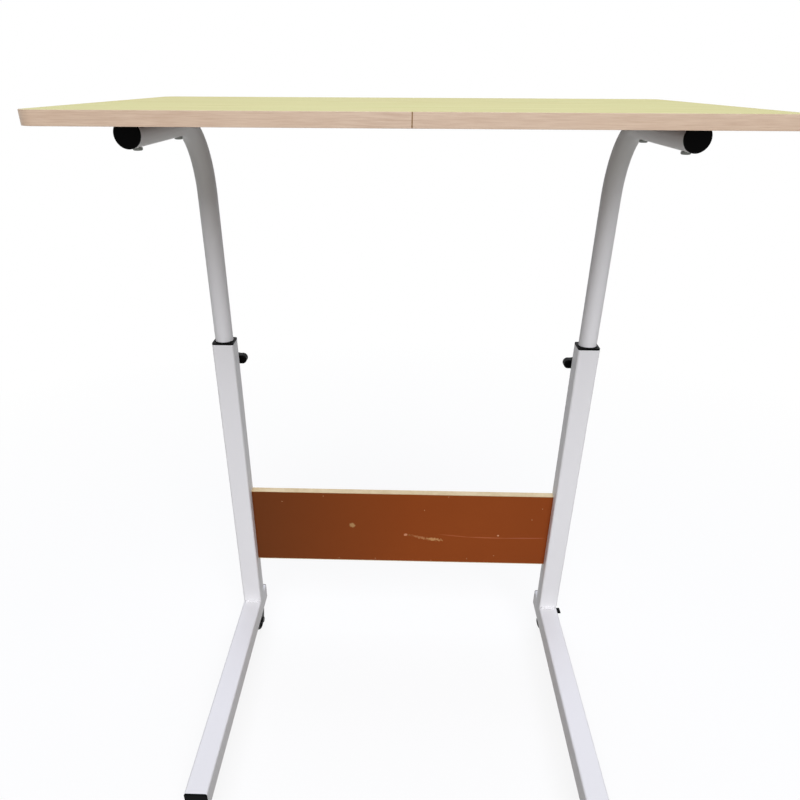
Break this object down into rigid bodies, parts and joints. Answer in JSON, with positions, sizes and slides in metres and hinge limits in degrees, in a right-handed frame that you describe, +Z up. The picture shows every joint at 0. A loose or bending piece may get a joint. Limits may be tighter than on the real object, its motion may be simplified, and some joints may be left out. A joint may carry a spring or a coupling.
{
  "type": "mobile height-adjustable desk",
  "caption": "Small rolling desk: maple-look top on bent round tubes that slide in square uprights, clamped by lobed knobs, with a brown crossboard and swivel castors.",
  "frame": {"origin": "on the floor, under the middle of the desk's overall box", "axes": "+Z up, +X to the sitter's right, +Y from the sitter towards the uprights at the back"},
  "size_m": [0.6, 0.442, 0.84],
  "materials": {
    "maple_melamine": "satin",
    "maple_edge_band": "satin",
    "brown_melamine": "satin",
    "white_powder_coat": "gloss",
    "black_plastic": "satin",
    "black_wheel": "satin",
    "black_steel": "satin",
    "zinc_steel": "satin"
  },
  "bodies": {
    "base_frame": {"weld_beads": "white_powder_coat", "crossboard": "brown_melamine", "crossboard_edge_bands": "maple_edge_band", "crossboard_screws": "black_steel", "clamp_nuts": "zinc_steel", "castor_stems": "zinc_steel", "castor_nuts": "zinc_steel", "left_upright": "white_powder_coat", "left_foot": "white_powder_coat", "left_foot_front_plug": "black_plastic", "left_foot_rear_plug": "black_plastic", "left_collar": "black_plastic", "right_upright": "white_powder_coat", "right_foot": "white_powder_coat", "right_foot_front_plug": "black_plastic", "right_foot_rear_plug": "black_plastic", "right_collar": "black_plastic"},
    "top_frame": {"tabletop_board": "maple_melamine", "tabletop_edge_band": "maple_edge_band", "tabletop_screws": "zinc_steel", "tabletop_insert_nuts": "zinc_steel", "left_top_tube": "white_powder_coat", "left_front_cap": "black_plastic", "left_guide_bush": "black_plastic", "right_top_tube": "white_powder_coat", "right_front_cap": "black_plastic", "right_guide_bush": "black_plastic"},
    "left_clamp_stud": {"left_clamp_stud": "zinc_steel"},
    "left_clamp_knob": {"left_clamp_knob": "black_plastic"},
    "left_front_castor": {"left_front_castor_fork": "black_steel", "left_front_castor_axle": "black_steel"},
    "left_front_wheel": {"left_front_castor_wheel": "black_wheel"},
    "left_rear_castor": {"left_rear_castor_fork": "black_steel", "left_rear_castor_axle": "black_steel"},
    "left_rear_wheel": {"left_rear_castor_wheel": "black_wheel"},
    "right_clamp_stud": {"right_clamp_stud": "zinc_steel"},
    "right_clamp_knob": {"right_clamp_knob": "black_plastic"},
    "right_front_castor": {"right_front_castor_fork": "black_steel", "right_front_castor_axle": "black_steel", "right_front_brake_pin": "zinc_steel"},
    "right_front_wheel": {"right_front_castor_wheel": "black_wheel"},
    "right_front_brake_pedal": {"right_front_brake_pedal": "black_plastic"},
    "right_rear_castor": {"right_rear_castor_fork": "black_steel", "right_rear_castor_axle": "black_steel", "right_rear_brake_pin": "zinc_steel"},
    "right_rear_wheel": {"right_rear_castor_wheel": "black_wheel"},
    "right_rear_brake_pedal": {"right_rear_brake_pedal": "black_plastic"}
  },
  "joints": [
    {"name": "height", "type": "slide", "parent": "base_frame", "child": "top_frame", "axis": [0, 0, 1], "range_m": [-0.18, 0]},
    {"name": "left_clamp_travel", "type": "slide", "parent": "base_frame", "child": "left_clamp_stud", "axis": [0, 1, 0], "range_m": [0, 0.00251]},
    {"name": "left_clamp_turn", "type": "hinge", "parent": "left_clamp_stud", "child": "left_clamp_knob", "pos_m": [-0.256, 0.203, 0.502], "axis": [0, 1, 0], "range_deg": [0, 720]},
    {"name": "left_front_swivel", "type": "hinge", "parent": "base_frame", "child": "left_front_castor", "pos_m": [-0.256, -0.205, 0.046], "axis": [0, 0, 1], "continuous": true},
    {"name": "left_front_roll", "type": "hinge", "parent": "left_front_castor", "child": "left_front_wheel", "pos_m": [-0.26759, -0.20189, 0.019], "axis": [-0.2588, -0.9659, 0], "continuous": true},
    {"name": "left_rear_swivel", "type": "hinge", "parent": "base_frame", "child": "left_rear_castor", "pos_m": [-0.256, 0.198, 0.046], "axis": [0, 0, 1], "continuous": true},
    {"name": "left_rear_roll", "type": "hinge", "parent": "left_rear_castor", "child": "left_rear_wheel", "pos_m": [-0.25705, 0.18605, 0.019], "axis": [0.9962, -0.0872, 0], "continuous": true},
    {"name": "right_clamp_travel", "type": "slide", "parent": "base_frame", "child": "right_clamp_stud", "axis": [0, 1, 0], "range_m": [0, 0.00251]},
    {"name": "right_clamp_turn", "type": "hinge", "parent": "right_clamp_stud", "child": "right_clamp_knob", "pos_m": [0.256, 0.203, 0.502], "axis": [0, 1, 0], "range_deg": [0, 720]},
    {"name": "right_front_swivel", "type": "hinge", "parent": "base_frame", "child": "right_front_castor", "pos_m": [0.256, -0.205, 0.046], "axis": [0, 0, 1], "continuous": true},
    {"name": "right_front_roll", "type": "hinge", "parent": "right_front_castor", "child": "right_front_wheel", "pos_m": [0.26728, -0.2009, 0.019], "axis": [-0.342, 0.9397, 0], "continuous": true},
    {"name": "right_front_brake", "type": "hinge", "parent": "right_front_castor", "child": "right_front_brake_pedal", "pos_m": [0.2715, -0.19936, 0.041], "axis": [-0.342, 0.9397, 0], "range_deg": [0, 20]},
    {"name": "right_rear_swivel", "type": "hinge", "parent": "base_frame", "child": "right_rear_castor", "pos_m": [0.256, 0.198, 0.046], "axis": [0, 0, 1], "continuous": true},
    {"name": "right_rear_roll", "type": "hinge", "parent": "right_rear_castor", "child": "right_rear_wheel", "pos_m": [0.26799, 0.19842, 0.019], "axis": [-0.0349, 0.9994, 0], "continuous": true},
    {"name": "right_rear_brake", "type": "hinge", "parent": "right_rear_castor", "child": "right_rear_brake_pedal", "pos_m": [0.27249, 0.19858, 0.041], "axis": [-0.0349, 0.9994, 0], "range_deg": [0, 20]}
  ],
  "couplings": [
    {"joint": "left_clamp_travel", "follows": "left_clamp_turn", "m_per_rad": 0.00019894},
    {"joint": "right_clamp_travel", "follows": "right_clamp_turn", "m_per_rad": 0.00019894}
  ]
}
